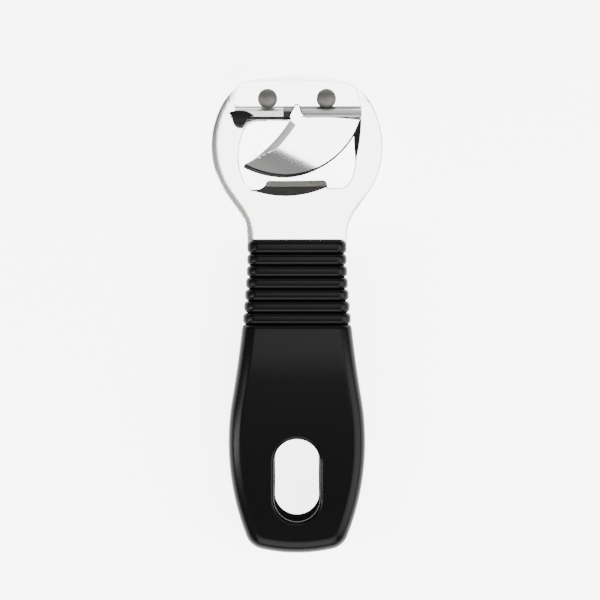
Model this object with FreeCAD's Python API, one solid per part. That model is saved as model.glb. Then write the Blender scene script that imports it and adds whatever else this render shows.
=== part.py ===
import FreeCAD, Part
import math
import os

# Lever can opener with a crown-cap lifter, lying on the back of its handle.
# +Y runs from the handle to the head, +X to the right and +Z up, out of the working face.
# Millimetres throughout; the origin is under the middle of the tool, on the resting plane.

OVERALL_LENGTH = 140.0     # end of handle to top of head
HEAD_WIDTH = 50.4          # across the ring
HANDLE_LENGTH = 91.9       # end of handle to the shoulders of the plate
HANDLE_THICKNESS = 18.0    # at the palm
NECK_THICKNESS = 14.6      # over the finger ribs
SHEET = 2.0                # both stampings are cut from the same strip
RIVET_SHANK = 3.4
RIVET_HEAD = 5.7
RIVET_CROWN = 2.1          # height of the set head above the cutter flange
HANG_HOLE_WIDTH = 13.4
HANG_HOLE_LENGTH = 24.0
HANG_HOLE_FROM_END = 9.6
GRIP_WALL = 3.2            # elastomer over the core
RIB_PITCH = 3.46
RIB_COUNT = 6
COLLAR_LENGTH = 4.2
BLADE_OFFSET = 3.0         # front of flange to front of blade
TANG_WIDTH = 18.0
BEVEL_WIDTH = 1.0          # ground edge of the blade
BEVEL_DROP = 0.8

BOTTOM = -OVERALL_LENGTH / 2
SHOULDER = BOTTOM + HANDLE_LENGTH
MID = HANDLE_THICKNESS / 2
PLATE_BACK = MID - SHEET / 2
PLATE_FRONT = MID + SHEET / 2
FLANGE_FRONT = PLATE_FRONT + SHEET
BLADE_FRONT = FLANGE_FRONT + BLADE_OFFSET
HEAD_SCALE = HEAD_WIDTH / 50.4
GRIP_SCALE = HANDLE_LENGTH / 91.9
NECK_HALF = 14.6

V = FreeCAD.Vector
UP = V(0, 0, 1)


def head(x, y):
    """A point of the head, given on the nominal 50.4 mm ring and scaled about its neck."""
    return V(x * HEAD_SCALE, SHOULDER + (y - 21.9) * HEAD_SCALE, 0)


def tangent_chain(start, heading, steps):
    """Edges that run on smoothly from start. A step is (radius, degrees), or (0, length) for a line."""
    edges = []
    at = start
    angle = math.radians(heading)
    for radius, amount in steps:
        if radius == 0:
            end = at + V(math.cos(angle), math.sin(angle), 0) * amount
            edges.append(Part.makeLine(at, end))
        else:
            turn = math.radians(amount)
            side = 1 if turn > 0 else -1
            centre = at + V(-math.sin(angle), math.cos(angle), 0) * (side * radius)
            spots = [centre + V(math.sin(a), -math.cos(a), 0) * (side * radius)
                     for a in (angle + turn / 2, angle + turn)]
            end = spots[1]
            edges.append(Part.Arc(at, spots[0], end).toShape())
            angle += turn
        at = end
    return edges, at


def mirrored(edges):
    return [e.mirror(V(0, 0, 0), V(1, 0, 0)) for e in edges]


def solid_from(edges, low, high):
    """Close the edges into one outline and raise it from low to high."""
    wire = Part.Wire(Part.__sortEdges__(edges))
    plate = Part.Face(wire).extrude(V(0, 0, high - low))
    plate.translate(V(0, 0, low))
    return plate


def path(points, low, high):
    """Straight and curved sides: a plain point ends a line, a (via, end) pair ends an arc."""
    edges = []
    at = points[0]
    for step in points[1:] + [points[0]]:
        if isinstance(step, tuple):
            edges.append(Part.Arc(at, step[0], step[1]).toShape())
            at = step[1]
        elif (step - at).Length > 1e-6:
            edges.append(Part.makeLine(at, step))
            at = step
    return solid_from(edges, low, high)


def side_strip(points, x_low, x_high):
    """The same as path, for an outline given as (y, z) and raised along X."""
    def lift(p):
        return V(p[0], p[1], 0)
    flat = [tuple(lift(q) for q in p) if isinstance(p[0], tuple) else lift(p) for p in points]
    strip = path(flat, x_low, x_high)
    stand = FreeCAD.Placement(V(0, 0, 0), FreeCAD.Rotation(V(0, 1, 0), UP, V(1, 0, 0), "ZXY"))
    strip.Placement = stand.multiply(strip.Placement)
    return strip


def edges_at_height(shape, z, longer_than=0.0):
    """Edges lying wholly at one height."""
    return [e for e in shape.Edges
            if abs(e.BoundBox.ZMin - z) < 1e-4 and abs(e.BoundBox.ZMax - z) < 1e-4
            and e.Length > longer_than]


# ---- head plate: ring, tang and cap lifter -------------------------------------------------------

def ring_blank():
    """Outline of the ring down to its shoulders, with rounded outer edges."""
    steps = [(96.7, -6.5), (14.85, -57.55), (26.3, -41.1), (22.2, -21.0), (0, 5.73), (14.6, 36.15)]
    right, end = tangent_chain(V(0, 48.1, 0), 0, steps)
    foot = V(end.x, 0, 0)
    right.append(Part.makeLine(end, foot))
    outline = right + mirrored(right) + [Part.makeLine(foot, V(-foot.x, 0, 0))]
    blank = solid_from(outline, 0, SHEET)
    round_edges = [e for z in (0, SHEET) for e in edges_at_height(blank, z) if e.BoundBox.YMax > 0.2]
    blank = blank.makeFillet(SHEET * 0.38, round_edges)
    stretch = FreeCAD.Matrix()
    stretch.scale(HEAD_SCALE, HEAD_SCALE, 1)
    blank = blank.transformGeometry(stretch) if abs(HEAD_SCALE - 1) > 1e-9 else blank
    blank.translate(V(0, SHOULDER, PLATE_BACK))
    return blank


def tang():
    """Narrow tongue of the plate inside the handle, with two holes the core flows through."""
    half = TANG_WIDTH / 2
    top = SHOULDER + 0.5
    low = SHOULDER - 0.4 * HANDLE_LENGTH
    body = path([V(-half, top, 0), V(-half, low + half, 0),
                 (V(0, low, 0), V(half, low + half, 0)), V(half, top, 0)], PLATE_BACK, PLATE_FRONT)
    for drop in (0.14, 0.28):
        y = SHOULDER - drop * HANDLE_LENGTH
        body = body.cut(Part.makeCylinder(3, SHEET * 3, V(0, y, PLATE_BACK - SHEET), UP))
    return body


LENS_CENTRE = head(-3.6, 64.84)
LENS_RADIUS = 29.68 * HEAD_SCALE


def opening():
    """The D-shaped opening, deepened at the foot where the lifter tongue springs from."""
    right, end = tangent_chain(V(11.8, 57.0, 0), 0, [(4.08, -64.23), (18.37, -46.89), (5.72, -84.61)])
    edges = right + mirrored(right)
    edges += [Part.makeLine(V(-11.8, 57, 0), V(11.8, 57, 0)), Part.makeLine(end, V(-end.x, end.y, 0))]
    cut = solid_from(edges, 0, 6 * SHEET)
    cut.translate(V(0, -21.9, 0))
    cut.scale(HEAD_SCALE, V(0, 0, 0))
    cut.translate(V(0, SHOULDER, PLATE_BACK - 2 * SHEET))
    foot = Part.makeCylinder(LENS_RADIUS, 6 * SHEET, LENS_CENTRE + V(0, 0, PLATE_BACK - 2 * SHEET), UP)
    low, high = head(-13.25, 34), head(9.0, 44)
    window = Part.makeBox(high.x - low.x, high.y - low.y, 6 * SHEET,
                          V(low.x, low.y, PLATE_BACK - 2 * SHEET))
    return cut.fuse(foot.common(window)).removeSplitter()


def lifter_tongue():
    """Tongue that leans back from the plate, so that it hooks under the skirt of a crown cap."""
    lean = math.radians(50)
    bend = 1.75 * SHEET
    inner = bend - SHEET
    length = 4.6 * HEAD_SCALE
    rho = LENS_RADIUS
    s, c = math.sin(lean), math.cos(lean)
    sh, ch = math.sin(lean / 2), math.cos(lean / 2)
    zc = PLATE_FRONT - bend

    def at(r, z):
        return V(r, 0, z)
    front_bend = at(rho - bend * s, zc + bend * c)
    back_bend = at(rho - inner * s, zc + inner * c)
    front_tip = front_bend + V(-length * c, 0, -length * s)
    back_tip = back_bend + V(-length * c, 0, -length * s)
    root = rho + 0.6
    edges = [
        Part.makeLine(at(root, PLATE_FRONT), at(rho, PLATE_FRONT)),
        Part.Arc(at(rho, PLATE_FRONT), at(rho - bend * sh, zc + bend * ch), front_bend).toShape(),
        Part.makeLine(front_bend, front_tip),
        Part.makeLine(front_tip, back_tip),
        Part.makeLine(back_tip, back_bend),
        Part.Arc(back_bend, at(rho - inner * sh, zc + inner * ch), at(rho, PLATE_BACK)).toShape(),
        Part.makeLine(at(rho, PLATE_BACK), at(root, PLATE_BACK)),
        Part.makeLine(at(root, PLATE_BACK), at(root, PLATE_FRONT)),
    ]
    cone = Part.Face(Part.Wire(edges)).revolve(V(0, 0, 0), UP, 90)
    cone.rotate(V(0, 0, 0), UP, -135)
    cone.translate(LENS_CENTRE)
    outline = path([head(-13.6, 34.0), head(-13.2, 36.8),
                    (head(-10.6, 37.2), head(-9.3, 38.4)), (head(-8.9, 39.3), head(-7.9, 39.6)),
                    head(7.6, 39.6), (head(8.4, 39.3), head(8.8, 38.4)), head(9.2, 37.9),
                    head(9.4, 34.0)], 0, HANDLE_THICKNESS)
    return cone.common(outline)


def clearance_relief():
    """Narrow coined slope beside the opening, under the right-hand end of the blade."""
    outer, tip = head(18.8, 58.2), head(17.35, 46.0)
    top, wide = head(15.6, 58.2), head(17.2, 52.0)
    z = PLATE_FRONT
    wedge = path([top, outer, (head(18.5, 52.0), tip), wide], z - 1.3, z + 0.2)
    return wedge


def make_head_plate():
    plate = ring_blank().fuse(tang()).cut(opening())
    plate = plate.cut(clearance_relief())
    plate = plate.fuse(lifter_tongue()).removeSplitter()
    return plate.cut(rivet_holes())


# ---- rivets --------------------------------------------------------------------------------------

def rivet_spots():
    return {"left_rivet": head(-8.64, 63.3), "right_rivet": head(8.64, 63.3)}


def rivet_holes():
    holes = [Part.makeCylinder(RIVET_SHANK / 2, 8 * SHEET, p + V(0, 0, MID - 4 * SHEET), UP)
             for p in rivet_spots().values()]
    return holes[0].fuse(holes[1])


def make_rivet(spot):
    """Domed head over the flange, shank through both sheets, low upset head behind."""
    r = RIVET_HEAD / 2
    side = 0.35 * RIVET_CROWN
    rise = RIVET_CROWN - side
    ball = (rise * rise + r * r) / (2 * rise)
    back = 1.1
    dome = Part.makeSphere(ball)
    dome.rotate(V(0, 0, 0), V(1, 0, 0), 90)
    dome.translate(V(0, 0, FLANGE_FRONT + RIVET_CROWN - ball))
    set_head = Part.makeCylinder(r, RIVET_CROWN + 1, V(0, 0, FLANGE_FRONT), UP).common(dome)
    shank = Part.makeCylinder(RIVET_SHANK / 2, FLANGE_FRONT - PLATE_BACK + 1,
                              V(0, 0, PLATE_BACK - 0.5), UP)
    upset = Part.makeCylinder(r - 0.2, back, V(0, 0, PLATE_BACK - back), UP)
    upset = upset.makeFillet(0.5 * back, edges_at_height(upset, PLATE_BACK - back))
    rivet = set_head.fuse([shank, upset]).removeSplitter()
    rivet.translate(spot)
    return rivet


# ---- cutter plate --------------------------------------------------------------------------------

FOLD = head(0, 61.1).y
SHELF_TOP = FOLD - 1.6
SHELF_UNDER = SHELF_TOP - SHEET


def flange():
    """Riveted flange; its top follows the crown of the ring a little inside it."""
    outline = path([head(-16.9, 61.1), (head(-18.3, 61.5), head(-18.6, 62.7)),
                    (head(-18.1, 65.2), head(-17.4, 66.8)), (head(-16.6, 67.9), head(-14.5, 68.3)),
                    (head(0.9, 68.85), head(15.4, 67.7)), (head(16.6, 67.3), head(17.3, 66.3)),
                    (head(18.2, 64.0), head(18.9, 61.1))], PLATE_FRONT, FLANGE_FRONT)
    return outline


def joggle():
    """Two opposed bends that carry the blade forward of the flange."""
    drop = 3.25 * HEAD_SCALE
    angle = 2 * math.atan(BLADE_OFFSET / drop)
    mean = drop / (2 * math.sin(angle))
    small, large = mean - SHEET / 2, mean + SHEET / 2
    s, c = math.sin(angle), math.cos(angle)
    sh, ch = math.sin(angle / 2), math.cos(angle / 2)
    y1, y2 = FOLD, FOLD - drop
    z1 = FLANGE_FRONT + small
    z2 = BLADE_FRONT - large
    root = 1.0
    points = [
        (y1 + root, FLANGE_FRONT), (y1, FLANGE_FRONT),
        ((y1 - small * sh, z1 - small * ch), (y1 - small * s, z1 - small * c)),
        ((y2 + large * sh, z2 + large * ch), (y2, BLADE_FRONT)),
        (y2 - root, BLADE_FRONT), (y2 - root, BLADE_FRONT - SHEET), (y2, BLADE_FRONT - SHEET),
        ((y2 + small * sh, z2 + small * ch), (y2 + small * s, z2 + small * c)),
        ((y1 - large * sh, z1 - large * ch), (y1, PLATE_FRONT)),
        (y1 + root, PLATE_FRONT),
    ]
    return side_strip(points, head(1.4, 0).x, head(18.9, 0).x)


def blade():
    """Sickle blade with a pointed rim guide, curled forward towards its tip."""
    curl = 36.0 * HEAD_SCALE
    turn = math.radians(27)
    reach = 34 * HEAD_SCALE
    inner = curl - SHEET
    s, c = math.sin(turn), math.cos(turn)
    sh, ch = math.sin(turn / 2), math.cos(turn / 2)
    strip = side_strip([
        (-reach, -SHEET), (0, -SHEET),
        ((curl * sh, curl - SHEET - curl * ch), (curl * s, curl - SHEET - curl * c)),
        (inner * s, curl - SHEET - inner * c),
        ((inner * sh, curl - SHEET - inner * ch), (0, 0)), (-reach, 0)], -reach, reach)
    strip.rotate(V(0, 0, 0), UP, 143.8)
    strip.translate(head(1.0, 47.0) + V(0, 0, BLADE_FRONT))
    outline = path([head(0.05, 61.75), (head(0.3, 61.95), head(0.6, 61.75)),
                    (head(1.5, 59.2), head(3.2, 57.85)), head(18.9, 57.85), head(18.6, 57.3),
                    (head(9.6, 45.0), head(-4.0, 40.35)), (head(-9.9, 41.3), head(-15.5, 43.45)),
                    (head(-7.3, 50.1), head(-1.7, 57.3)), head(-2.7, 58.3)],
                   PLATE_BACK, BLADE_FRONT + 10)
    return strip.common(outline)


def ground_edge(body):
    """Slope ground on the front of the blade along its hollow cutting edge."""
    centre = head(-35.3, 77.4)
    sharp = 39.3 * HEAD_SCALE
    chosen = []
    for e in body.Edges:
        middle = e.valueAt((e.FirstParameter + e.LastParameter) / 2)
        ends = [v.Point for v in e.Vertexes]
        on_arc = all(abs(V(p.x - centre.x, p.y - centre.y, 0).Length - sharp) < 0.35
                     for p in ends + [middle])
        upright = e.BoundBox.XLength < 0.1 and e.BoundBox.YLength < 0.1
        if on_arc and not upright and e.Length > 2 and middle.z > BLADE_FRONT - 0.5 * SHEET:
            chosen.append(e)
    return chosen


def folded_ledge(left, right, nose):
    """Straight ledge folded forward from the flange, its sheared end facing forward at nose."""
    inner = SHELF_TOP - FOLD
    r = abs(inner)
    big = r + SHEET
    h = math.sqrt(0.5)
    z = FLANGE_FRONT + r
    points = [
        (FOLD + 1, FLANGE_FRONT), (FOLD, FLANGE_FRONT),
        ((FOLD - r * h, z - r * h), (SHELF_TOP, z)),
        (SHELF_TOP, nose), (SHELF_UNDER, nose), (SHELF_UNDER, z),
        ((FOLD - big * h, z - big * h), (FOLD, PLATE_FRONT)), (FOLD + 1, PLATE_FRONT)]
    return side_strip(points, left, right)


def shelf():
    """Long ledge the can rim bears against, and the short set-back one between it and the blade."""
    step = head(-4.0, 0).x
    long_ledge = folded_ledge(head(-14.4, 0).x, step, BLADE_FRONT - 0.2)
    return long_ledge.fuse(folded_ledge(step, head(1.6, 0).x, BLADE_FRONT - 0.5 * SHEET))


def claw():
    """Rounded fulcrum at the left end of the ledge, rolled over to hook under the can rim."""
    r = FOLD - SHELF_TOP
    big = r + SHEET
    h = math.sqrt(0.5)
    z = FLANGE_FRONT + r
    top, nose = 1.2, 3.5
    yc = SHELF_TOP - top
    zc = BLADE_FRONT + 0.4 - nose
    points = [
        (FOLD + 0.4, FLANGE_FRONT), (FOLD, FLANGE_FRONT),
        ((FOLD - r * h, z - r * h), (SHELF_TOP, z)),
        (SHELF_TOP, zc + nose - top), ((yc + top * h, zc + nose - top + top * h), (yc, zc + nose)),
        ((yc - nose * h, zc + nose * h), (yc - nose, zc)),
        (yc - nose + 1.5, zc), (SHELF_UNDER, zc + 0.6),
        (SHELF_UNDER, z),
        ((FOLD - big * h, z - big * h), (FOLD, PLATE_FRONT)), (FOLD + 0.4, PLATE_FRONT)]
    body = side_strip(points, head(-19.8, 0).x, head(-13.9, 0).x)
    lobe = path([head(-19.8, 62.6), head(-19.8, 59.2), (head(-19.6, 58.9), head(-19.2, 58.6)),
                 head(-18.9, 57.1), (head(-16.75, 55.1), head(-14.6, 57.1)), head(-13.8, 58.5),
                 head(-13.8, 62.6)], PLATE_BACK, BLADE_FRONT + 10)
    body = body.common(lobe)
    low, high = head(-20.5, 60.4), head(-18.3, 63.0)
    corner = Part.makeBox(high.x - low.x, high.y - low.y, 12, V(low.x, low.y, PLATE_BACK))
    return body.cut(corner)


def make_cutter_plate():
    body = flange().fuse([joggle(), blade(), shelf(), claw()]).removeSplitter()
    body = body.makeChamfer(BEVEL_WIDTH * HEAD_SCALE, BEVEL_DROP, ground_edge(body))
    return body.cut(rivet_holes())


# ---- handle --------------------------------------------------------------------------------------

BODY_TOP = SHOULDER - COLLAR_LENGTH - RIB_COUNT * RIB_PITCH


def neck_half(y):
    """Half width of the ribbed neck, which flares towards the palm."""
    run = max(0.0, SHOULDER - 4 - y) / 21.3
    return NECK_HALF - 0.05 + 1.45 * run ** 1.5


def rounded_bar(half, thickness, corner, y_low, y_high, roll):
    """Bar along Y with a rounded rectangular section, its ends rolled over."""
    bar = Part.makeBox(2 * half, y_high - y_low, thickness, V(-half, y_low, MID - thickness / 2))
    bar = bar.makeFillet(corner, [e for e in bar.Edges if e.BoundBox.YLength > 0.9 * (y_high - y_low)])
    if roll:
        bar = bar.makeFillet(roll, [e for e in bar.Edges if e.BoundBox.YLength < 1e-4])
    return bar


def palm_outline(inset=0.0):
    """Half outline of the palm, from its top to the middle of the rounded end."""
    steps = [(330, 3.8), (76, -30.9), (6.3, -55.7), (46.1, -13.0)]
    right, end = tangent_chain(V(16.05, 0, 0), -84.2, steps)
    edges = [e for e in right]
    last = edges.pop()
    a, b = last.Vertexes[0].Point, last.Vertexes[-1].Point
    via = last.valueAt((last.FirstParameter + last.LastParameter) / 2)
    if abs(a.x) < abs(b.x):
        a, b = b, a
    edges.append(Part.Arc(a, V(via.x, via.y, 0), V(0, b.y, 0)).toShape())
    wire = Part.Wire(Part.__sortEdges__(
        edges + mirrored(edges) + [Part.makeLine(V(-16.05, 0, 0), V(16.05, 0, 0))]))
    wire.scale(GRIP_SCALE, V(0, 0, 0))
    wire.translate(V(0, BODY_TOP, 0))
    if inset:
        wire = wire.makeOffset2D(-inset)
    return Part.Face(wire)


def palm():
    """Smooth palm swell, flat front and back over its middle and rolled all round."""
    plan = palm_outline().extrude(V(0, 0, HANDLE_THICKNESS + 2))
    plan.translate(V(0, 0, -1))
    y0, y1 = BODY_TOP + 1, BOTTOM - 2
    ya, yb = BODY_TOP - 16 * GRIP_SCALE, BOTTOM + 20 * GRIP_SCALE
    fall = 1.0
    t = HANDLE_THICKNESS
    strip = side_strip([
        (ya, 0), ((0.5 * (y0 + ya), 0.27 * fall), (y0, fall)), (y0, t - fall),
        ((0.5 * (y0 + ya), t - 0.27 * fall), (ya, t)), (yb, t),
        ((0.5 * (y1 + yb), t - 0.27 * fall), (y1, t - fall)), (y1, fall),
        ((0.5 * (y1 + yb), 0.27 * fall), (yb, 0))], -40, 40)
    body = plan.common(strip)
    rim = [e for e in body.Edges
           if (e.BoundBox.ZMin > 0.7 * t or e.BoundBox.ZMax < 0.3 * t)
           and e.BoundBox.YMin < BODY_TOP - 0.01 and e.BoundBox.XLength < 2 * 20 * GRIP_SCALE
           and abs(e.valueAt((e.FirstParameter + e.LastParameter) / 2).x) > 1]
    body = body.makeFillet(4.2, rim)
    top = [e for e in body.Edges if e.BoundBox.YMin > BODY_TOP - 0.01]
    return body.makeFillet(0.9, top)


def hang_hole(grow=0.0):
    half = HANG_HOLE_WIDTH / 2 + grow
    low = BOTTOM + HANG_HOLE_FROM_END + HANG_HOLE_WIDTH / 2
    high = BOTTOM + HANG_HOLE_FROM_END + HANG_HOLE_LENGTH - HANG_HOLE_WIDTH / 2
    return path([V(-half, high, 0), V(-half, low, 0), (V(0, low - half, 0), V(half, low, 0)),
                 V(half, high, 0), (V(0, high + half, 0), V(-half, high, 0))], -5, HANDLE_THICKNESS + 5)


def grip_outside():
    """Collar, finger ribs and palm in one outer skin."""
    skin = palm()
    top = SHOULDER
    low = top - COLLAR_LENGTH
    bars = [rounded_bar(neck_half((top + low) / 2), NECK_THICKNESS, 3.2, low, top, 0.9)]
    for k in range(RIB_COUNT):
        top, low = low, low - RIB_PITCH
        grow = 0.16 * k
        bars.append(rounded_bar(neck_half((top + low) / 2), NECK_THICKNESS + grow, 3.2, low, top, 0.9))
    bars.append(rounded_bar(NECK_HALF - 1.4, NECK_THICKNESS - 2.4, 2.4, BODY_TOP - 6, SHOULDER - 1, 0))
    skin = skin.fuse(bars)
    skin = skin.cut(hang_hole())
    half = HANG_HOLE_WIDTH / 2 + 0.01
    end = BOTTOM + HANG_HOLE_FROM_END - 0.01
    mouths = [e for e in skin.Edges
              if e.BoundBox.XMax < half and e.BoundBox.XMin > -half
              and e.BoundBox.YMin > end and e.BoundBox.YMax < end + HANG_HOLE_LENGTH + 0.02
              and e.BoundBox.ZLength < 2]
    return skin.makeFillet(1.4, mouths)


def core_body():
    """Rigid insert: a bar round the tang that widens into a frame round the hanging hole."""
    low, high = GRIP_WALL, HANDLE_THICKNESS - GRIP_WALL
    frame = palm_outline(GRIP_WALL).extrude(V(0, 0, high - low))
    frame.translate(V(0, 0, low))
    stem = Part.makeBox(2 * (NECK_HALF - 3.4), SHOULDER - 3 - BODY_TOP + 8, NECK_THICKNESS - 5.6,
                        V(-(NECK_HALF - 3.4), BODY_TOP - 8, MID - NECK_THICKNESS / 2 + 2.8))
    return frame.fuse(stem).removeSplitter().cut(hang_hole(2.4))


os.makedirs("parts", exist_ok=True)
head_plate = make_head_plate()
core_outside = core_body()
skin = grip_outside()
pieces = {
    "head_plate": head_plate,
    "cutter_plate": make_cutter_plate(),
    "handle_core": core_outside.cut(head_plate),
    "grip_sleeve": skin.cut(core_outside).cut(head_plate),
}
for name, spot in rivet_spots().items():
    # setting flattens the head where it meets the fold of the cutter plate
    pieces[name] = make_rivet(spot).cut(pieces["cutter_plate"])
for name, shape in pieces.items():
    shape.exportStep("parts/" + name + ".step")
    box = shape.BoundBox
    print(name, "solids", len(shape.Solids), "valid", shape.isValid(), "volume", round(shape.Volume, 1),
          "x", round(box.XMin, 2), round(box.XMax, 2), "y", round(box.YMin, 2), round(box.YMax, 2),
          "z", round(box.ZMin, 2), round(box.ZMax, 2))
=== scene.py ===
import math
import bpy
import numpy as np
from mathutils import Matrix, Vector


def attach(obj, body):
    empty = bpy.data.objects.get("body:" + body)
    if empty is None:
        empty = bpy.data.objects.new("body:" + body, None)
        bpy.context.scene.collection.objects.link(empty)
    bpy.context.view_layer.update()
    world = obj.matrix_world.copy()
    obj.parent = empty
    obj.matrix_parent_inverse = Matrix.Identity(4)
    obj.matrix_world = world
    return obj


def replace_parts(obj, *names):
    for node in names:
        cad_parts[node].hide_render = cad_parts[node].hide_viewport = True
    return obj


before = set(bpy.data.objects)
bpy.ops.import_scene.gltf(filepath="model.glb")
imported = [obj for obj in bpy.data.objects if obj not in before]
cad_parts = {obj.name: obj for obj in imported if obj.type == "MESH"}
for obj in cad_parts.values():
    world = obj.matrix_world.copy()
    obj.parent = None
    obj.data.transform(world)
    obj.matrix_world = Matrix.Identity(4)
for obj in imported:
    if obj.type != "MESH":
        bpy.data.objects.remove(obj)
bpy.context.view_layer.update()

mm = 0.001  # lengths are in millimetres until a mesh is made; +Y runs to the head, +Z out of the working face


def linear(hexColour):  # sRGB hex to linear RGBA
    channels = [int(hexColour[i:i + 2], 16) / 255 for i in (1, 3, 5)]
    return tuple(c / 12.92 if c <= 0.04045 else ((c + 0.055) / 1.055) ** 2.4 for c in channels) + (1.0,)


def arcPath(start, heading, steps, gap=0.2):
    # arcs that run on smoothly from start; a step is (radius, degrees) or (0, length), all in mm
    at, angle = np.array(start, float), math.radians(heading)
    parts = [at[None, :]]
    for radius, amount in steps:
        if radius == 0:
            count = max(2, int(amount / gap))
            run = np.linspace(0, amount, count + 1)[1:, None]
            part = at + run * np.array([math.cos(angle), math.sin(angle)])
        else:
            turn = math.radians(amount)
            side = math.copysign(1, turn)
            count = max(6, int(abs(turn) * radius / gap))
            a = angle + np.linspace(0, turn, count + 1)[1:]
            centre = at + side * radius * np.array([-math.sin(angle), math.cos(angle)])
            part = centre + side * radius * np.stack([np.sin(a), -np.cos(a)], 1)
            angle += turn
        parts.append(part)
        at = part[-1]
    return np.concatenate(parts)


def threePointArc(a, b, c, gap=0.15):
    # points of the circle through a, b and c, from a to c
    a, b, c = (np.array(p, float) for p in (a, b, c))
    m = np.array([b - a, c - a]) * 2
    centre = np.linalg.solve(m, [b @ b - a @ a, c @ c - a @ a])
    radius = np.linalg.norm(a - centre)
    t = [math.atan2(p[1] - centre[1], p[0] - centre[0]) for p in (a, b, c)]
    sweep = (t[2] - t[0]) % (2 * math.pi)
    if (t[1] - t[0]) % (2 * math.pi) > sweep:
        sweep -= 2 * math.pi
    count = max(6, int(abs(sweep) * radius / gap))
    angles = t[0] + np.linspace(0, sweep, count + 1)
    return centre + radius * np.stack([np.cos(angles), np.sin(angles)], 1)


def closedLoop(*parts):
    # joins stretches into one loop and drops repeated points
    loop = np.concatenate([np.atleast_2d(np.array(p, float)) for p in parts])
    keep = np.linalg.norm(loop - np.roll(loop, 1, axis=0), axis=1) > 1e-4
    return loop[keep]


def evenly(loop, count):
    # count points at equal steps along a closed loop
    ring = np.vstack([loop, loop[:1]])
    run = np.concatenate([[0], np.cumsum(np.linalg.norm(np.diff(ring, axis=0), axis=1))])
    at = np.linspace(0, run[-1], count, endpoint=False)
    return np.stack([np.interp(at, run, ring[:, k]) for k in (0, 1)], 1)


def sameBearing(points, loop, centre):
    # where the ray from centre through each point crosses the loop
    rel = loop - centre
    bearing = np.arctan2(rel[:, 1], rel[:, 0])
    order = np.argsort(bearing)
    bearing, rel = bearing[order], rel[order]
    reach = np.linalg.norm(rel, axis=1)
    want = np.arctan2(points[:, 1] - centre[1], points[:, 0] - centre[0])
    far = np.interp(want, bearing, reach, period=2 * math.pi)
    return centre + far[:, None] * np.stack([np.cos(want), np.sin(want)], 1)


def distanceTo(points, line):
    # shortest distance from each point to an open polyline
    a, d = line[:-1], np.diff(line, axis=0)
    square = (d ** 2).sum(1) + 1e-12
    flat = points.reshape(-1, 2)
    out = np.empty(len(flat))
    for lo in range(0, len(flat), 4000):
        p = flat[lo:lo + 4000, None, :]
        t = np.clip(((p - a) * d).sum(2) / square, 0, 1)
        out[lo:lo + 4000] = np.linalg.norm(p - a - t[..., None] * d, axis=2).min(1)
    return out.reshape(points.shape[:-1])


def edgeRoll(distance, radius):
    # how far a quarter-round edge of that radius drops the surface at a distance from the edge
    inside = radius - np.minimum(distance, radius)
    return radius - np.sqrt(np.maximum(radius ** 2 - inside ** 2, 0))


def addPiece(name, points, faces, material, smoothBelow=32, faceMaterials=None):
    # points in mm; faces are quads or polygons by index; edges sharper than smoothBelow degrees stay sharp
    mesh = bpy.data.meshes.new(name)
    mesh.from_pydata((points * mm).tolist(), [], faces)
    mesh.validate()
    obj = bpy.data.objects.new(name, mesh)
    bpy.context.scene.collection.objects.link(obj)
    materials = material if isinstance(material, list) else [material]
    for m in materials:
        mesh.materials.append(m)
    if faceMaterials is not None:
        mesh.polygons.foreach_set("material_index", np.array(faceMaterials, np.int32))
    mesh.polygons.foreach_set("use_smooth", np.ones(len(mesh.polygons), bool))
    mesh.set_sharp_from_angle(angle=math.radians(smoothBelow))
    mesh.update()
    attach(obj, "root")
    return obj


def gridFaces(rows, columns, wrapRows, wrapColumns):
    # quads of a rows x columns grid, closed round either way if asked
    r = np.arange(rows if wrapRows else rows - 1)
    c = np.arange(columns if wrapColumns else columns - 1)
    r, c = (g.ravel() for g in np.meshgrid(r, c, indexing="ij"))
    r1, c1 = (r + 1) % rows, (c + 1) % columns
    return np.stack([r * columns + c, r * columns + c1, r1 * columns + c1, r1 * columns + c], 1)


def facingOut(points, faces):
    # turns all the quads over if the closed surface has a negative volume
    a, b, c, d = (points[faces[:, k]] for k in range(4))
    volume = (np.cross(a, b) * c).sum() + (np.cross(a, c) * d).sum()
    return faces if volume > 0 else faces[:, ::-1]


def newMaterial(name):
    material = bpy.data.materials.new(name)
    material.use_nodes = True
    return material, material.node_tree, material.node_tree.nodes["Principled BSDF"]


def addNode(tree, kind, settings, links):
    # settings are node properties; links are input name: value or output socket
    node = tree.nodes.new(kind)
    for key, value in settings.items():
        setattr(node, key, value)
    for key, value in links.items():
        socket = node.inputs[key]
        if isinstance(value, bpy.types.NodeSocket):
            tree.links.new(value, socket)
        else:
            socket.default_value = value
    return node


def grained(name, colour, rough, spread, linesPerMetre, depth, metallic=1.0):
    # metal with fine drawn lines: noise stretched along one way moves the roughness and a slight bump;
    # the lines are drawn coarser than real polishing lines, which would be too fine to show
    material, tree, shader = newMaterial(name)
    shader.inputs["Base Color"].default_value = linear(colour)
    shader.inputs["Metallic"].default_value = metallic
    place = addNode(tree, "ShaderNodeTexCoord", {}, {})
    scaled = addNode(tree, "ShaderNodeMapping", {}, {"Vector": place.outputs["Object"],
                                                        "Scale": linesPerMetre})
    noise = addNode(tree, "ShaderNodeTexNoise", {}, {"Vector": scaled.outputs["Vector"], "Scale": 1.0,
                                                     "Detail": 3.0})
    level = addNode(tree, "ShaderNodeMapRange", {}, {"Value": noise.outputs["Fac"], "To Min": rough - spread,
                                                     "To Max": rough + spread})
    tree.links.new(level.outputs["Result"], shader.inputs["Roughness"])
    bump = addNode(tree, "ShaderNodeBump", {}, {"Height": noise.outputs["Fac"], "Strength": depth,
                                                "Distance": 0.00003})
    tree.links.new(bump.outputs["Normal"], shader.inputs["Normal"])
    return material


# stainless sheet with a satin drawn along the tool: broad, soft reflections
steelSatin = grained("satinStainlessSheet", "#ebebe7", 0.13, 0.03, (2600, 60, 60), 0.2)
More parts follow.
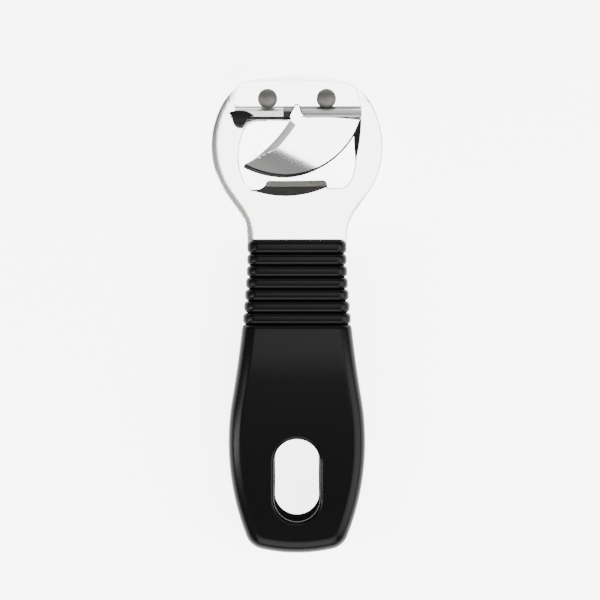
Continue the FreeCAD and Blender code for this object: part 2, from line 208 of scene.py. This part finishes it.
# the same steel polished all ways: bright and nearly even
steelMirror = grained("mirrorPolishedSteel", "#f4f4f2", 0.13, 0.02, (900, 900, 900), 0.05)
# steel over a bend: duller than the flat sheet, with forming lines across it; its greyer colour is painted
# shade
formedShadedSteel = grained("formedBendPaintedShade", "#979796", 0.38, 0.04, (60, 1800, 1800), 0.2)
# a bend that stays bright
brightBend = grained("brightFormedBend", "#f2f2f0", 0.3, 0.04, (60, 1800, 1800), 0.2)
# steel ground across the edge: a wide, dull highlight
groundSteel = grained("groundCuttingEdge", "#cfcfce", 0.46, 0.1, (300, 1800, 300), 0.6)
# plain steel rivet, dull; its dark colour is a painted dark reflection
paintedShadeRivetSteel = grained("paintedShadeRivetSteel", "#565553", 0.6, 0.05, (700, 700, 700), 0.1)
# sheared end of the sheet, a cool pale grey
shearedSteel = grained("shearedSteelEdge", "#c9cfd2", 0.4, 0.08, (3000, 3000, 300), 0.5)
# rounded rim of the sheet, painted greyer than its face as shade
shadedRimSteel = grained("paintedShadeRimSteel", "#8b8b8a", 0.4, 0.08, (2000, 2000, 300), 0.3)
# end face painted nearly black as shade
shadedEndFace = grained("paintedShadeEndFace", "#242423", 0.35, 0.08, (3000, 3000, 300), 0.3)
# bent lip of the head plate, dull, painted dark as shade
paintedShadeTongueSteel = grained("paintedShadeTongueSteel", "#454442", 0.42, 0.05, (60, 1500, 1500), 0.2)
# painted shade and dark reflection: bright steel drawn a plain black with hardly any shine, since the light
# that darkens it isn't known
shadeBlackSteel = grained("paintedShadeBlackSteel", "#100f0f", 0.4, 0.06, (60, 1500, 1500), 0.2, 0.0)
shadeBlackSteel.node_tree.nodes["Principled BSDF"].inputs["Specular IOR Level"].default_value = 0.03


def moulded(name, colour, rough, level, grainsPerMetre, depth):
    # plastic with a fine mould texture; the noise also varies the gloss by glossSpread either way
    glossSpread = 0.04
    material, tree, shader = newMaterial(name)
    shader.inputs["Base Color"].default_value = linear(colour)
    shader.inputs["Specular IOR Level"].default_value = level
    place = addNode(tree, "ShaderNodeTexCoord", {}, {})
    noise = addNode(tree, "ShaderNodeTexNoise", {}, {"Vector": place.outputs["Object"],
                                                     "Scale": grainsPerMetre, "Detail": 2.0})
    gloss = addNode(tree, "ShaderNodeMapRange", {}, {"Value": noise.outputs["Fac"],
                                                     "To Min": rough - glossSpread,
                                                     "To Max": rough + glossSpread})
    tree.links.new(gloss.outputs["Result"], shader.inputs["Roughness"])
    bump = addNode(tree, "ShaderNodeBump", {}, {"Height": noise.outputs["Fac"], "Strength": depth,
                                                "Distance": 0.00002})
    tree.links.new(bump.outputs["Normal"], shader.inputs["Normal"])
    return material


# thermoplastic elastomer from a smooth mould: deep black with a soft, low shine
elastomer = moulded("mouldedElastomer", "#050505", 0.24, 0.065, 2200.0, 0.1)
# the same elastomer in the bore with its shine taken away: painted shade in the hollow
shadedBoreMaterial = moulded("paintedShadeBore", "#121212", 0.7, 0.0, 1800.0, 0.3)
# polypropylene insert, hidden inside the grip
coreMaterial = moulded("mouldedPolypropylene", "#161617", 0.5, 0.4, 1200.0, 0.3)

for node, material in {"handle_core": coreMaterial, "left_rivet": paintedShadeRivetSteel,
                       "right_rivet": paintedShadeRivetSteel}.items():
    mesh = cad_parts[node].data
    mesh.materials.clear()
    mesh.materials.append(material)
print("materials made")


handle = {"shoulder": 21.9, "collar": 4.2, "ribs": 6, "pitch": 3.46, "thick": 18.0, "middle": 9.0,
          "neckThick": 14.6, "neckHalf": 14.6, "flare": 1.45, "flareRun": 21.3, "flareStart": 4,
          "corner": 3.4, "ribGrowth": 0.08, "ribRoll": 1.25, "topRoll": 1.75, "edgeRoll": 4.2,
          "holeRoll": 1.1, "fall": 1.0, "topFall": (-19.06, 17), "endFall": (-50, 22), "deepest": 8.6,
          "draft": 0.3, "holeCentre": (0, -48.4), "holeRadius": 6.7, "holeStraight": 10.6}
palmTop = handle["shoulder"] - handle["collar"] - handle["ribs"] * handle["pitch"]


def neckGrip():
    # rounded rectangles stacked along Y; each rib is drawn in at both ends by a quarter round
    corner, middle, cornerPoints = handle["corner"], handle["middle"], 14
    quarter = np.linspace(0, math.pi / 2, 10)
    rows = []
    top = handle["shoulder"]
    for k in range(handle["ribs"] + 1):
        length = handle["collar"] if k == 0 else handle["pitch"]
        centre = top - length / 2
        run = max(0.0, handle["shoulder"] - handle["flareStart"] - centre) / handle["flareRun"]
        half = handle["neckHalf"] + handle["flare"] * run ** 1.5
        thick = handle["neckThick"] / 2 + handle["ribGrowth"] * max(0, k - 1)
        upper, lower = (handle["topRoll"] if k == 0 else handle["ribRoll"]), handle["ribRoll"]
        near = np.concatenate([upper * (1 - np.cos(quarter)), length - lower * (1 - np.cos(quarter[::-1]))])
        drawn = np.concatenate([upper * (1 - np.sin(quarter)), lower * (1 - np.sin(quarter[::-1]))])
        rows += [(top - n, half - e, thick - e, corner - e) for n, e in zip(near, drawn)]
        top -= length
    rows = np.array(rows)
    angles = np.concatenate([np.linspace(q, q + math.pi / 2, cornerPoints)
                             for q in np.arange(4) * math.pi / 2])
    quadrant = np.repeat(np.arange(4), cornerPoints)
    sx = np.array([1, -1, -1, 1])[quadrant]
    sz = np.array([1, 1, -1, -1])[quadrant]
    y, w, t, c = (rows[:, k:k + 1] for k in range(4))
    x = sx * (w - c) + c * np.cos(angles)
    z = middle + sz * (t - c) + c * np.sin(angles)
    grid = np.stack([x, np.broadcast_to(y, x.shape), z], 2)
    points = grid.reshape(-1, 3)
    n = x.shape[1]
    faces = facingOut(points, gridFaces(len(rows), n, False, True))
    faces = faces.tolist() + [list(range(n))[::-1], list(range(len(points) - n, len(points)))]
    return addPiece("gripNeck", points, faces, elastomer, 50)


def palmGrip():
    # a ring of stations round the hanging hole, each running in over the front and back out behind;
    # height = flat palm - end fall - quarter rounds along the flank, the top and the hole
    around, inward, downBore = 620, 72, 14
    right = arcPath((16.05, 0), -84.2, [(330, 3.8), (76, -30.9), (6.3, -55.7), (46.1, -13.0)])
    right[:, 0] = np.where(right[:, 1] < -60, np.maximum(right[:, 0], 0), right[:, 0])
    left = right[::-1] * [-1, 1]
    corner = threePointArc((15.1, 0), (15.78, -0.27), (15.98, -0.9))
    under = right[right[:, 1] < -0.95]
    loop = closedLoop(corner, under, under[::-1] * [-1, 1], corner[::-1] * [-1, 1],
                      np.stack([np.linspace(-15.0, 15.0, 40), np.zeros(40)], 1))
    outer = evenly(loop, around) + [0, palmTop]
    flank = np.vstack([right, left]) + [0, palmTop]
    flank = np.vstack([flank[0] + [-0.4, 4], flank, flank[-1] + [0.4, 4]])
    holeCentre = np.array(handle["holeCentre"])
    radius, straight = handle["holeRadius"], handle["holeStraight"]
    holeTop = holeCentre + [0, radius + straight / 2]
    side = arcPath(holeTop, 0, [(radius, -90), (0, straight), (radius, -90)], 0.1)
    hole = closedLoop(side, side[::-1] * [-1, 1])
    inner = sameBearing(outer, hole, holeCentre)
    share = 0.5 * (1 - np.cos(np.linspace(0, math.pi, inward)))
    plan = outer + share[:, None, None] * (inner - outer)
    y = plan[..., 1]
    (topStart, topRun), (endStart, endRun) = handle["topFall"], handle["endFall"]
    fall = handle["fall"] * (np.maximum(y - topStart, 0) / topRun) ** 2 \
        + handle["fall"] * (np.maximum(endStart - y, 0) / endRun) ** 2
    holeLine = np.vstack([hole, hole[:1]])
    drop = fall + edgeRoll(distanceTo(plan, flank), handle["edgeRoll"]) \
        + edgeRoll(np.maximum(palmTop - y, 0), handle["ribRoll"]) \
        + edgeRoll(distanceTo(plan, holeLine), handle["holeRoll"])
    drop = np.minimum(drop, handle["deepest"])
    front = np.concatenate([plan, (handle["thick"] - drop)[..., None]], 2)
    back = np.concatenate([plan, drop[..., None]], 2)[::-1]
    # the bore narrows by a draft from both mouths to the parting line halfway
    depth = np.linspace(0, 1, downBore)[1:-1, None, None]
    bulge = handle["draft"] * (1 - np.abs(2 * depth - 1))
    wall = front[-1] + depth * (back[0] - front[-1])
    toCentre = np.concatenate([holeCentre, [handle["middle"]]]) - front[-1]
    toCentre[:, 2] = 0
    wall = wall + bulge * toCentre / np.linalg.norm(toCentre, axis=1)[:, None]
    grid = np.concatenate([front, wall, back])
    points = grid.reshape(-1, 3)
    quads = gridFaces(grid.shape[0], grid.shape[1], True, True)
    row = quads[:, 0] // grid.shape[1]
    # the bore takes the shine-free material, painted shade in the hollow
    inBore = (row >= len(front) - 1) & (row < len(front) + len(wall))
    return addPiece("gripPalm", points, facingOut(points, quads).tolist(), [elastomer, shadedBoreMaterial],
                    60, inBore.astype(int))


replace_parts(neckGrip(), "grip_sleeve")
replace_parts(palmGrip(), "grip_sleeve")
print("handle made")


plateLook = {"front": 10.0, "back": 8.0, "roll": 0.3, "topSharper": 0.25, "holeRoll": 0.36,
             "dish": 0.13, "dishWidth": 2.4, "lowerFade": (52, 16), "upperFade": (63.5, 4),
             "openingTop": 57.0, "openingFoot": 37.25, "ringCentre": (0, 47.0), "rimShadeBand": 0.22,
             "holeShadeBand": 0.26, "tongueEnds": (-13.2, 9.0), "lean": (48.0, 24.0), "bendEnd": 37.75}
lensCentre, lensRadius = np.array([-3.4, 64.1]), 29.3  # the arc at the tongue's foot


def lensFoot(x):
    return lensCentre[1] - np.sqrt(lensRadius ** 2 - (x - lensCentre[0]) ** 2)


def ringPlate():
    # a ring of stations round the opening; height = sheet front - rounded rim - shallow dish at the rim
    around, holePoints, inward = 640, 1600, 60
    tongueLeft, tongueRight = plateLook["tongueEnds"]
    right = arcPath((0, 70), 0, [(96.7, -6.5), (14.85, -57.55), (26.3, -41.1), (22.2, -21.0), (0, 5.73),
                                 (14.6, 36.15), (0, 1.9)])
    left = right[::-1] * [-1, 1]
    foot = np.stack([np.linspace(14.4, -14.4, 30), np.full(30, right[-1, 1])], 1)
    outer = evenly(closedLoop(right, foot, left), around)
    side = arcPath((11.8, plateLook["openingTop"]), 0, [(4.08, -64.23), (18.37, -46.89), (5.72, -84.61)], 0.1)
    rightSide = side.copy()
    rightSide[:, 1] = np.maximum(rightSide[:, 1], plateLook["openingFoot"])
    x = np.linspace(tongueRight, tongueLeft, 120)
    lens = np.stack([x, lensFoot(x)], 1)
    leftSide = side[::-1] * [-1, 1]
    leftSide = leftSide[leftSide[:, 0] < tongueLeft - 0.05]
    topSide = np.stack([np.linspace(-11.7, 11.7, 60), np.full(60, plateLook["openingTop"])], 1)
    hole = closedLoop(topSide, rightSide, lens, leftSide)
    inner = sameBearing(outer, evenly(hole, holePoints), np.array(plateLook["ringCentre"]))
    share = 0.5 * (1 - np.cos(np.linspace(0, math.pi, inward)))
    plan = outer + share[:, None, None] * (inner - outer)
    toRim = np.minimum(distanceTo(plan, np.vstack([right, right[-1] + [0, -5]])),
                       distanceTo(plan, np.vstack([left[0] + [0, -5], left])))
    toHole = distanceTo(plan, np.vstack([hole, hole[:1]]))
    atTongue = (plan[..., 1] < 40) & (np.abs(plan[..., 0] + 2.1) < 10.9)
    (lowerStart, lowerRun), (upperStart, upperRun) = plateLook["lowerFade"], plateLook["upperFade"]
    lower = np.clip((lowerStart - plan[..., 1]) / lowerRun, 0, 1) * (plan[..., 0] < 0)
    upper = np.clip((plan[..., 1] - upperStart) / upperRun, 0, 1)
    nearness = np.clip(1 - toRim / plateLook["dishWidth"], 0, 1)
    dish = plateLook["dish"] * (1 + 0.8 * lower - upper) * nearness ** 2
    roll = plateLook["roll"] - plateLook["topSharper"] * upper
    hemmed = np.where(atTongue, 0, edgeRoll(toHole, plateLook["holeRoll"]))
    drop = edgeRoll(toRim, roll) + dish + hemmed
    rise = edgeRoll(toRim, roll) + hemmed
    front = np.concatenate([plan, (plateLook["front"] - np.minimum(drop, 1.1))[..., None]], 2)
    back = np.concatenate([plan, (plateLook["back"] + np.minimum(rise, 0.86) * 0.9)[..., None]], 2)[::-1]
    grid = np.concatenate([front, back])
    points = grid.reshape(-1, 3)
    quads = gridFaces(grid.shape[0], grid.shape[1], True, True)
    # painted shade: a greyer rim on the lower outside and round the left of the opening
    flat = np.concatenate([plan, plan[::-1]]).reshape(-1, 2)[quads[:, 0]]
    nearRim = np.concatenate([toRim, toRim[::-1]]).reshape(-1)[quads[:, 0]] < plateLook["rimShadeBand"]
    nearHole = np.concatenate([toHole, toHole[::-1]]).reshape(-1)[quads[:, 0]] < plateLook["holeShadeBand"]
    shadedRimFaces = (nearRim & (flat[:, 1] < 56)) | (nearHole & (flat[:, 0] < -9) & (flat[:, 1] > 39))
    return addPiece("ringPlate", points, facingOut(points, quads).tolist(), [steelSatin, shadedRimSteel],
                    62, shadedRimFaces.astype(int))


def lifterTongue():
    # across X and up Y; the front starts level at the curved foot, bends back and runs on straight;
    # height = sheet front - the tilt's tangent added up along Y
    up, sheet, bendEnd = 70, plateLook["front"] - plateLook["back"], plateLook["bendEnd"]
    top = np.concatenate([threePointArc((-13.2, 36.8), (-10.6, 37.2), (-9.3, 38.4)),
                          threePointArc((-9.3, 38.4), (-8.9, 39.3), (-7.9, 39.6)),
                          [[7.6, 39.6]], threePointArc((7.6, 39.6), (8.5, 39.2), (8.8, 38.4)),
                          [[9.0, 37.95]]])
    order = np.argsort(top[:, 0])
    x = np.concatenate([np.linspace(-13.2, -7.9, 60), np.linspace(-7.8, 7.5, 60), np.linspace(7.6, 9.0, 30)])
    high = np.interp(x, top[order, 0], top[order, 1])
    low = lensFoot(x)
    high = np.maximum(high, low + 0.02)
    v = np.linspace(0, 1, up)[:, None]
    y = low + v * (high - low)
    steep, gentle = (math.tan(math.radians(d)) for d in plateLook["lean"])
    bendEnd = np.maximum(bendEnd, low + 0.02)
    run = np.clip(y - low, 0, None)
    rise = np.clip(run / 0.35, 0, 1)
    ease = np.clip((y - bendEnd + 0.3) / 0.6, 0, 1)
    tilt = (steep * rise) * (1 - ease) + gentle * ease
    step = np.diff(y, axis=0)
    fallen = np.concatenate([np.zeros((1, len(x))), np.cumsum(step * (tilt[1:] + tilt[:-1]) / 2, axis=0)])
    z = plateLook["front"] - fallen
    length = np.sqrt(1 + tilt ** 2)
    front = np.stack([np.broadcast_to(x, y.shape), y, z], 2)
    back = np.stack([np.broadcast_to(x, y.shape), y - sheet * tilt / length, z - sheet / length], 2)
    lip = front[-1:] + (back[-1:] - front[-1:]) * 0.08 + [0, 0.08, 0]
    grid = np.concatenate([front, lip, back[::-1]])
    points = grid.reshape(-1, 3)
    rows, columns = grid.shape[:2]
    quads = gridFaces(rows, columns, True, False)
    # the foot of the bend is painted black as shade
    paintedShadeFoot = (points[quads[:, 0], 1] < 37.7) & (quads[:, 0] // columns < up)
    faces = facingOut(points, quads)
    return addPiece("lifterTongue", points, faces.tolist(), [paintedShadeTongueSteel, shadeBlackSteel], 38,
                    paintedShadeFoot.astype(int))


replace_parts(ringPlate(), "head_plate")
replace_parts(lifterTongue(), "head_plate")
print("head plate made")


cutter = {"flangeFront": 12.0, "bladeFront": 15.0, "sheet": 2.0, "fold": 61.1, "curl": 34.0,
          "curlStart": 4.0, "curlFrom": (-2.8, 52.7), "curlTowards": (-0.424, -0.906), "bevel": 2.2,
          "bevelDrop": 1.1, "bevelEnd": 0.22, "bladeRim": (0.42, 0.34), "guideFoot": 56.9,
          "joggleDrop": 3.25, "ledgeInside": 1.75, "ledgeSheet": 2.35, "ledgeHeel": 0.7}


def plateFrom(name, outline, centre, count, widths, drops, height, material, looks=(0, 0, 0), ground=0):
    # front and back are stations from the outline in to near the centre, closed by a small cap each;
    # widths and drops give the chamfer at each outline point, height gives front z and the sheet's tilt;
    # looks are the material numbers of face, wall and ground edge; ground is how many points are ground
    step = np.roll(outline, -1, axis=0) - np.roll(outline, 1, axis=0)
    normal = np.stack([-step[:, 1], step[:, 0]], 1) / np.linalg.norm(step, axis=1)[:, None]
    area = (outline[:, 0] * np.roll(outline[:, 1], -1) - np.roll(outline[:, 0], -1) * outline[:, 1]).sum()
    normal *= math.copysign(1, area)
    foot = outline + normal * widths[:, None]
    # keeps the stations from crossing at the corners: their bearings from the centre only ever grow
    bearing = np.unwrap(np.arctan2(foot[:, 1] - centre[1], foot[:, 0] - centre[0])) * math.copysign(1, area)
    bearing = np.maximum.accumulate(bearing) * math.copysign(1, area)
    reach = np.linalg.norm(foot - centre, axis=1)[:, None]
    foot = centre + reach * np.stack([np.cos(bearing), np.sin(bearing)], 1)
    share = np.linspace(0, 0.97, count)[:, None, None]
    plan = np.concatenate([outline[None], foot + share * (centre - foot)])
    z, tiltX, tiltY = height(plan)
    length = np.sqrt(1 + tiltX ** 2 + tiltY ** 2)
    behind = np.stack([tiltX, tiltY, -np.ones_like(z)], 2) * cutter["sheet"] / length[..., None]
    front = np.concatenate([plan, z[..., None]], 2)
    back = front + behind
    front[0, :, 2] -= drops
    points = np.concatenate([front[::-1], back]).reshape(-1, 3)
    rows, columns = 2 * (count + 1), len(outline)
    quads = gridFaces(rows, columns, False, True)
    turned = facingOut(points, quads)
    row, column = quads[:, 0] // columns, np.minimum(quads[:, 0], quads[:, 3]) % columns
    face, wall, edge = looks
    kinds = np.full(len(quads), face)
    kinds[row == count] = wall
    kinds[(row == count - 1) & (column >= ground)] = wall
    kinds[(row == count - 1) & (column < ground)] = edge
    first, last = list(range(columns)), list(range((rows - 1) * columns, rows * columns))
    caps = [first[::-1], last] if (turned[0] == quads[0]).all() else [first, last[::-1]]
    return addPiece(name, points, turned.tolist() + caps, material, 30,
                    np.concatenate([kinds, [face, face]]))


def flatHeight(z):
    # height = z everywhere, with no tilt
    def height(plan):
        zero = np.zeros(plan.shape[:-1])
        return zero + z, zero, zero
    return height


def flangePlate():
    # flat plate with a small chamfer all round, except along the fold; the chamfer and rim are painted greyer
    # as shade
    fold = cutter["fold"]
    outline = evenly(closedLoop(
        threePointArc((-16.9, fold), (-18.3, 61.5), (-18.6, 62.7)),
        threePointArc((-18.6, 62.7), (-18.1, 65.2), (-17.4, 66.8)),
        threePointArc((-17.4, 66.8), (-16.6, 67.9), (-14.5, 68.3)),
        threePointArc((-14.5, 68.3), (0.9, 68.85), (15.4, 67.7)),
        threePointArc((15.4, 67.7), (16.6, 67.3), (17.3, 66.3)),
        threePointArc((17.3, 66.3), (18.2, 64.0), (18.9, fold)),
        np.stack([np.linspace(18.8, -16.8, 80), np.full(80, fold)], 1)), 420)
    widths = np.where(outline[:, 1] < fold + 0.05, 0.01, 0.14)
    return plateFrom("cutterFlange", outline, np.array([0.0, 64.6]), 8, widths, widths * 0.9,
                     flatHeight(cutter["flangeFront"]), [steelMirror, shadedRimSteel], (0, 1, 1))


def bladeHeight(plan):
    # flat, then curving forward past a slanting line with a curvature that grows to 1/curl
    toTip = np.array(cutter["curlTowards"])
    s = np.maximum((plan - np.array(cutter["curlFrom"])) @ toTip, 0)
    start, curl = cutter["curlStart"], cutter["curl"]
    early = np.minimum(s, start)
    late = np.maximum(s - start, 0)
    z = early ** 3 / (6 * start * curl) + start * late / (2 * curl) + late ** 2 / (2 * curl)
    slope = early ** 2 / (2 * start * curl) + late / curl
    return cutter["bladeFront"] + z, slope * toTip[0], slope * toTip[1]


def blade():
    # sickle with the rim guide on top; the chamfer widens to the ground bevel along the hollow side
    hollow = threePointArc((-15.3, 43.45), (-7.3, 50.0), (-2.0, 56.8), 0.1)
    outline = closedLoop(
        hollow, threePointArc((-2.05, 56.95), (-2.1, 57.2), (-2.4, 57.4)),
        threePointArc((-2.4, 57.6), (-1.75, 59.1), (-0.75, 60.95)),
        threePointArc((-0.75, 60.95), (0.05, 61.45), (0.85, 60.9)),
        threePointArc((0.85, 60.9), (1.35, 59.2), (2.6, 57.65)),
        threePointArc((2.7, 57.65), (11.5, 57.65), (18.7, 56.95)),
        threePointArc((18.65, 56.7), (10.05, 44.85), (-3.2, 40.35), 0.1),
        threePointArc((-3.2, 40.35), (-9.6, 41.2), (-15.3, 43.35), 0.1))
    n = len(hollow)
    rim = np.where(outline[:, 1] < cutter["guideFoot"], *cutter["bladeRim"])
    tipPoints, rootPoints, least = 12, 4, cutter["bevelEnd"]
    ramp = np.minimum(np.arange(n) / tipPoints, 1) * np.minimum((n - 1 - np.arange(n)) / rootPoints, 1)
    widths, drops = rim.copy(), rim.copy()
    widths[:n] = least + (cutter["bevel"] - least) * ramp
    drops[:n] = least + (cutter["bevelDrop"] - least) * ramp
    # the walls and edge strips outside the ground bevel are painted black as shade
    return plateFrom("sickleBlade", outline, np.array([3.0, 53.0]), 60, widths, drops, bladeHeight,
                     [steelMirror, shadeBlackSteel, groundSteel], (0, 1, 2), n - 1)


def foldedSheet(name, profile, left, right, material, looks):
    # a closed profile in Y and Z carried across X from left to right, closed by an end face each
    columns = 24
    across = np.linspace(0, 1, columns)
    x = left + across[None, :] * (right - left) + np.zeros((len(profile), 1))
    y, z = (np.broadcast_to(profile[:, k:k + 1], x.shape) for k in (0, 1))
    points = np.stack([x, y, z], 2).reshape(-1, 3)
    n = len(profile)
    quads = facingOut(points, gridFaces(n, columns, True, False))
    forward = (quads[0] == gridFaces(n, columns, True, False)[0]).all()
    first, last = (np.arange(n) * columns).tolist(), (np.arange(n) * columns + columns - 1).tolist()
    faces = quads.tolist() + ([first, last[::-1]] if forward else [first[::-1], last])
    faceLooks = np.concatenate([np.repeat(looks, columns - 1), [1, 1]])
    return addPiece(name, points, faces, material, 30, faceLooks)


def joggle():
    # two opposed bends of equal mean radius carry the sheet forward
    rear, front, sheet, tuck = cutter["flangeFront"], cutter["bladeFront"], cutter["sheet"], 0.3
    drop, rise = cutter["joggleDrop"], front - rear
    angle = 2 * math.atan(rise / drop)
    mean = drop / (2 * math.sin(angle))
    small, large = mean - sheet / 2, mean + sheet / 2
    y1, y2 = cutter["fold"], cutter["fold"] - drop
    z1, z2 = rear + small, front - large
    a = np.linspace(0, angle, 20)
    frontIn = np.stack([y1 - small * np.sin(a), z1 - small * np.cos(a)], 1)
    frontOut = np.stack([y2 + large * np.sin(a[::-1]), z2 + large * np.cos(a[::-1])], 1)
    backOut = np.stack([y2 + small * np.sin(a), z2 + small * np.cos(a)], 1)
    backIn = np.stack([y1 - large * np.sin(a[::-1]), z1 - large * np.cos(a[::-1])], 1)
    under = [[y2 - tuck, front], [y2 - tuck, front - sheet]]
    profile = np.concatenate([frontIn, frontOut, under, backOut, backIn])
    profile = profile[np.linalg.norm(profile - np.roll(profile, 1, axis=0), axis=1) > 1e-4]
    # the bend is painted grey and its end faces black, as shade
    return foldedSheet("joggleBend", profile, 1.4, 18.9, [formedShadedSteel, shadedEndFace], np.zeros(len(profile), int))


def ledge(name, left, right, nose, bendSteel, noseSteel):
    # a quarter bend of inside radius r carries the sheet straight forward, and its cut end faces +Z
    r, sheet, heel = cutter["ledgeInside"], cutter["ledgeSheet"], cutter["ledgeHeel"]
    bendPoints, clear = 14, 0.02  # clear keeps the back of the bend off the head plate
    big = r + sheet
    a = np.linspace(0, math.pi / 2, bendPoints)
    fold, z = cutter["fold"], cutter["flangeFront"] + r
    inner = np.stack([fold - r * np.sin(a), z - r * np.cos(a)], 1)
    outerZ = np.maximum(z - big * np.cos(a[::-1]), plateLook["front"] + clear)
    outer = np.stack([fold - big * np.sin(a[::-1]), outerZ], 1)
    profile = np.concatenate([inner, [[fold - r, nose - 0.1], [fold - r - 0.1, nose],
                                      [fold - big + heel, nose], [fold - big, nose - heel * 0.8]], outer])
    # the heel and the outer face of the bend are painted black as shade
    looks = np.zeros(len(profile), int)
    looks[bendPoints:bendPoints + 2] = 1
    looks[bendPoints + 2:] = 2
    return foldedSheet(name, profile, left, right, [bendSteel, noseSteel, shadeBlackSteel], looks)


claw = {"crestY": 58.4, "crestZ": 15.3, "above": 1.6, "below": 5.6, "edge": 0.15}


def rimClaw():
    # a leaf facing forward; height = crest - distance from the crest line squared, steeper above it
    outline = closedLoop(
        threePointArc((-19.8, 58.9), (-17.0, 59.6), (-12.6, 57.9)),
        threePointArc((-12.6, 57.7), (-14.2, 57.4), (-14.6, 57.0)),
        threePointArc((-14.6, 57.0), (-16.75, 55.1), (-18.95, 57.1)),
        threePointArc((-18.95, 57.1), (-19.1, 58.0), (-19.8, 58.6)))[::-1]
    widths = np.full(len(outline), claw["edge"])

    def height(plan):
        y = plan[..., 1] - claw["crestY"]
        zero = np.zeros(y.shape)
        return claw["crestZ"] - np.where(y > 0, y ** 2 / claw["above"], y ** 2 / claw["below"]), zero, zero
    # the whole claw is painted black as shade and dark reflection
    return plateFrom("rimClaw", outline, np.array([-16.8, 57.5]), 26, widths, widths, height, shadeBlackSteel)


slope = {"inside": 16.75, "taper": 0.5, "lift": 0.03, "height": 0.16, "fade": 0.7, "across": 8}


def clearanceSlope():
    # narrow slope on the ring beside the opening, painted black as shade; height = ring front + half a sine
    # wave across
    outer = threePointArc((19.0, 57.6), (18.5, 51.0), (17.3, 45.0), 0.3)
    t = np.linspace(0, 1, len(outer))[:, None]
    inner = np.stack([slope["inside"] + slope["taper"] * t[:, 0] ** 2, outer[:, 1]], 1)
    across = np.linspace(0, 1, slope["across"])[:, None, None]
    plan = outer + across * (inner - outer)
    wave = np.sin(across[..., 0] * math.pi) * (1 - t[:, 0] * slope["fade"])
    z = plateLook["front"] + slope["lift"] + slope["height"] * wave
    points = np.concatenate([plan, z[..., None]], 2).reshape(-1, 3)
    faces = gridFaces(slope["across"], len(outer), False, False)
    a, b, c = (points[faces[0, k]] for k in range(3))
    faces = faces if np.cross(b - a, c - a)[2] > 0 else faces[:, ::-1]
    return addPiece("clearanceSlope", points, faces.tolist(), shadeBlackSteel, 60)


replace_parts(clearanceSlope(), "head_plate")
for made in (flangePlate(), blade(), joggle(),
             ledge("ledge", -14.4, -4.0, 14.8, brightBend, shearedSteel),
             ledge("setBackLedge", -4.0, 1.4, 14.0, formedShadedSteel, shadedEndFace),
             ledge("clawRoot", -18.3, -14.3, 13.8, brightBend, shadedEndFace),
             rimClaw()):
    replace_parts(made, "cutter_plate")
print("cutter made")


# places and sizes of the studio are in metres, powers in watts
studio = {"floor": "#f6f6f6", "glow": 4.5, "floorHalf": 3, "roomLean": (-0.3, -0.5, 0.81),
          "room": ((0.0, 0.44), (0.33, 0.38), (0.58, 0.2), (0.76, 0.16), (0.86, 0.6)),
          "camera": (0.0009, 0.0041, 0.460), "sensor": 36, "lens": 91.4}
softboxes = {  # place, target, size, power
    "keySoftbox": ((0.16, 0.14, 0.95), (0.16, 0.14, 0), (0.58, 0.30), 4.0),
    "rightSoftbox": ((0.52, -0.15, 0.4), (0, -0.03, 0), (0.5, 0.6), 9.0),
    "endSoftbox": ((0, -0.55, 0.42), (0, -0.05, 0), (0.6, 0.5), 9.0),
    "farSoftbox": ((0, 0.75, 0.42), (0, 0.05, 0), (0.5, 0.25), 1.5),
    "leftStrip": ((-0.55, -0.1, 0.45), (0, -0.03, 0), (0.09, 0.6), 6.0)}

floorMesh = bpy.data.meshes.new("floor")
half = studio["floorHalf"]
corners = [(-half, -half, 0), (half, -half, 0), (half, half, 0), (-half, half, 0)]
floorMesh.from_pydata(corners, [], [(0, 1, 2, 3)])
floor = bpy.data.objects.new("floor", floorMesh)
bpy.context.scene.collection.objects.link(floor)
# matt white paint on a board lit from within: near white and without a horizon
paint, tree, shader = newMaterial("paleFloor")
shader.inputs["Base Color"].default_value = linear(studio["floor"])
shader.inputs["Roughness"].default_value = 0.9
shader.inputs["Specular IOR Level"].default_value = 0.1
shader.inputs["Emission Color"].default_value = linear("#ffffff")
shader.inputs["Emission Strength"].default_value = studio["glow"]
floorMesh.materials.append(paint)


def areaLight(name, place, target, size, power):
    light = bpy.data.lights.new(name, "AREA")
    light.shape = "RECTANGLE"
    light.size, light.size_y = size
    light.energy = power
    obj = bpy.data.objects.new(name, light)
    obj.location = place
    obj.rotation_euler = (Vector(target) - Vector(place)).to_track_quat("-Z", "Y").to_euler()
    bpy.context.scene.collection.objects.link(obj)


for name, (place, target, size, power) in softboxes.items():
    areaLight(name, place, target, size, power)

world = bpy.data.worlds.new("studio")
world.use_nodes = True
bpy.context.scene.world = world
background = world.node_tree.nodes["Background"]
background.inputs["Strength"].default_value = 1.0
# soft room: brighter overhead to the left, dimmer overhead to the right, lighter again low down
place = addNode(world.node_tree, "ShaderNodeTexCoord", {}, {})
lean = addNode(world.node_tree, "ShaderNodeVectorMath", {"operation": "DOT_PRODUCT"},
               {0: place.outputs["Generated"], 1: studio["roomLean"]})
room = addNode(world.node_tree, "ShaderNodeValToRGB", {}, {"Fac": lean.outputs["Value"]})
stops = room.color_ramp.elements
stops[0].position, stops[1].position = studio["room"][0][0], studio["room"][-1][0]
for at, _ in studio["room"][1:-1]:
    stops.new(at)
for stop, (_, level) in zip(stops, studio["room"]):
    stop.color = (level, level, level, 1)
world.node_tree.links.new(room.outputs["Color"], background.inputs["Color"])

camera = bpy.data.objects.new("camera", bpy.data.cameras.new("camera"))
camera.location = studio["camera"]
camera.data.sensor_width = studio["sensor"]
camera.data.lens = studio["lens"]
camera.data.clip_start = 0.01
bpy.context.scene.collection.objects.link(camera)
bpy.context.scene.camera = camera
